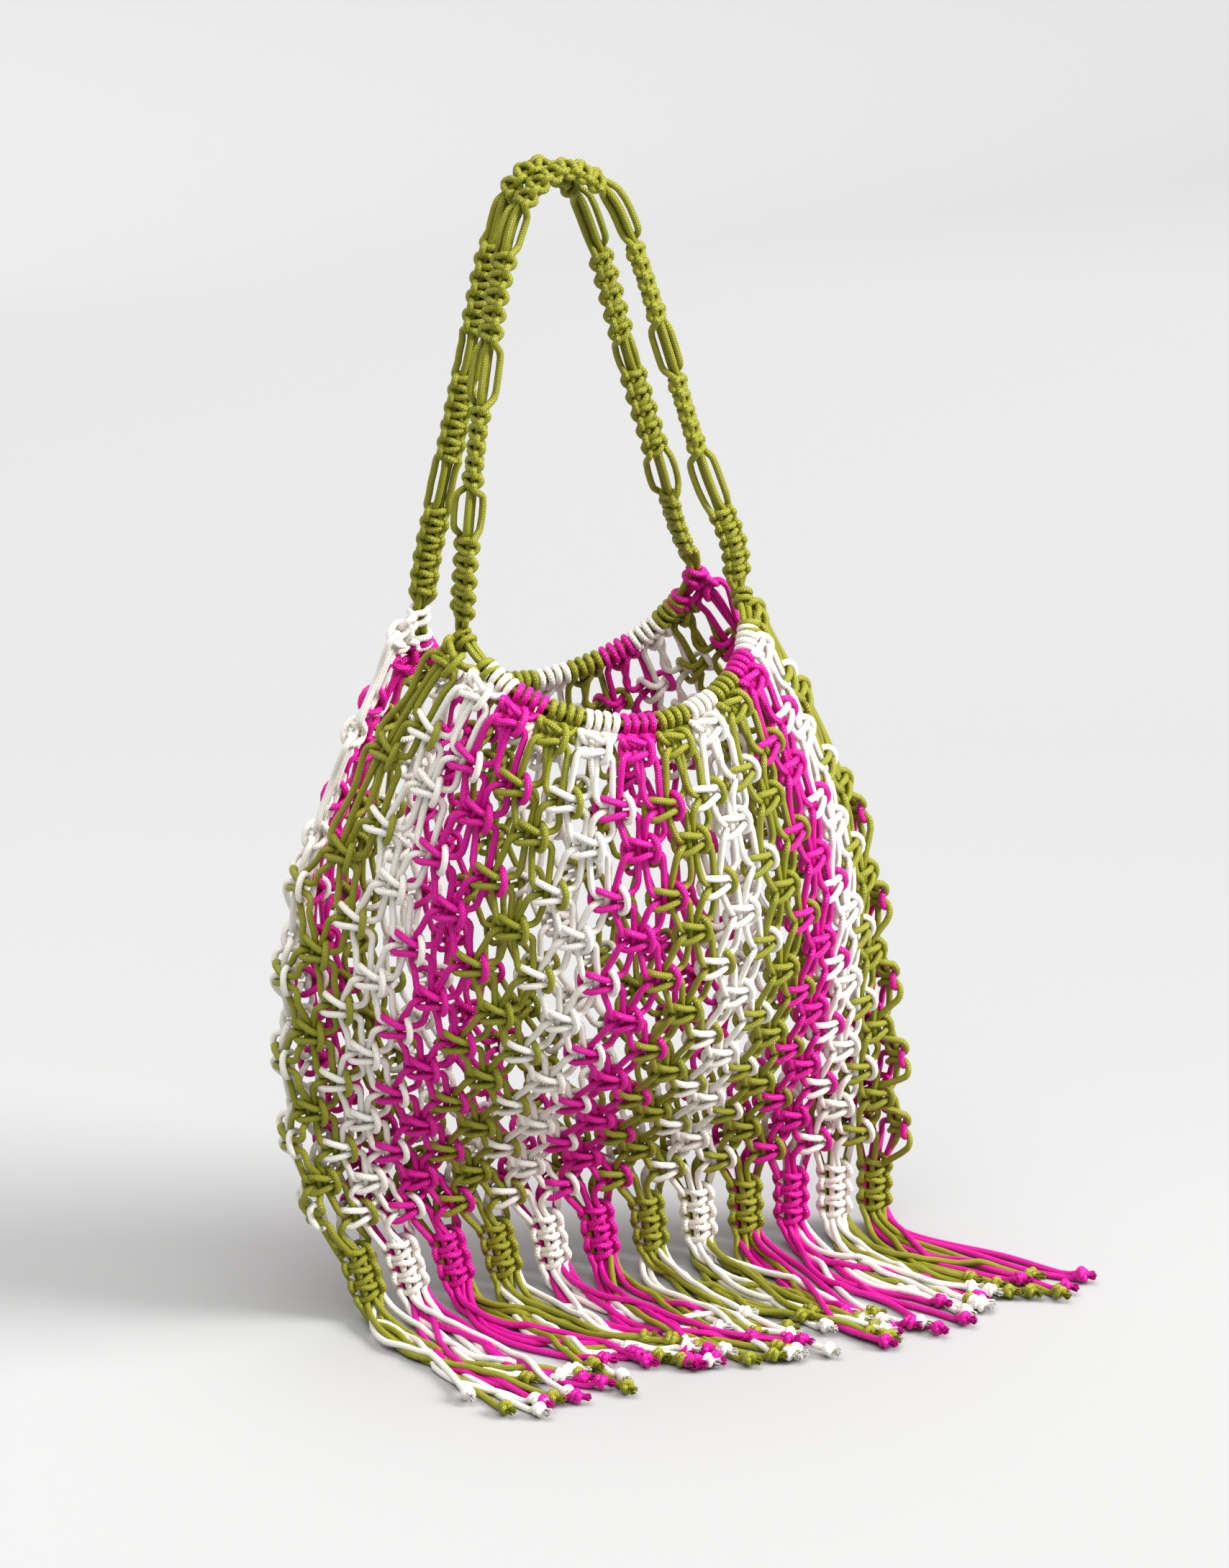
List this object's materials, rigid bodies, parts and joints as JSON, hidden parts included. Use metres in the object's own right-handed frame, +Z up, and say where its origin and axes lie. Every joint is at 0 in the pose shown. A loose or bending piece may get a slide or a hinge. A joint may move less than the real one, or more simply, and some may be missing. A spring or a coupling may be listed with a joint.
{
  "type": "macrame tassel bag",
  "caption": "Open net bag of knotted cord in olive, magenta and ivory columns, with two looped knotted handles and a long fringe below its closed bottom edge.",
  "frame": {"origin": "top of the two handles, where the bag hangs", "axes": "+X along the bag's width towards its right side seen from the front, +Y to the back panel, +Z up"},
  "size_m": [0.4405, 0.2584, 0.6922],
  "materials": {
    "olive_cord": "braided, low sheen",
    "ivory_cord": "braided, low sheen",
    "magenta_cord": "braided, low sheen"
  },
  "bodies": {
    "root": {"handle_front": "olive_cord", "handle_back": "olive_cord", "front_column_01": "olive_cord", "front_column_02": "ivory_cord", "front_column_03": "magenta_cord", "front_column_04": "olive_cord", "front_column_05": "ivory_cord", "front_column_06": "magenta_cord", "front_column_07": "olive_cord", "front_column_08": "ivory_cord", "front_column_09": "olive_cord", "front_column_10": "magenta_cord", "front_column_11": "ivory_cord", "front_column_12": "olive_cord", "back_column_01": "ivory_cord", "back_column_02": "magenta_cord", "back_column_03": "olive_cord", "back_column_04": "ivory_cord", "back_column_05": "magenta_cord", "back_column_06": "olive_cord", "back_column_07": "ivory_cord", "back_column_08": "olive_cord", "back_column_09": "magenta_cord", "back_column_10": "ivory_cord", "back_column_11": "olive_cord", "back_column_12": "magenta_cord", "tassel_01": "olive_cord", "tassel_02": "ivory_cord", "tassel_03": "magenta_cord", "tassel_04": "olive_cord", "tassel_05": "ivory_cord", "tassel_06": "magenta_cord", "tassel_07": "olive_cord", "tassel_08": "ivory_cord", "tassel_09": "olive_cord", "tassel_10": "magenta_cord", "tassel_11": "ivory_cord", "tassel_12": "olive_cord"}
  },
  "joints": []
}
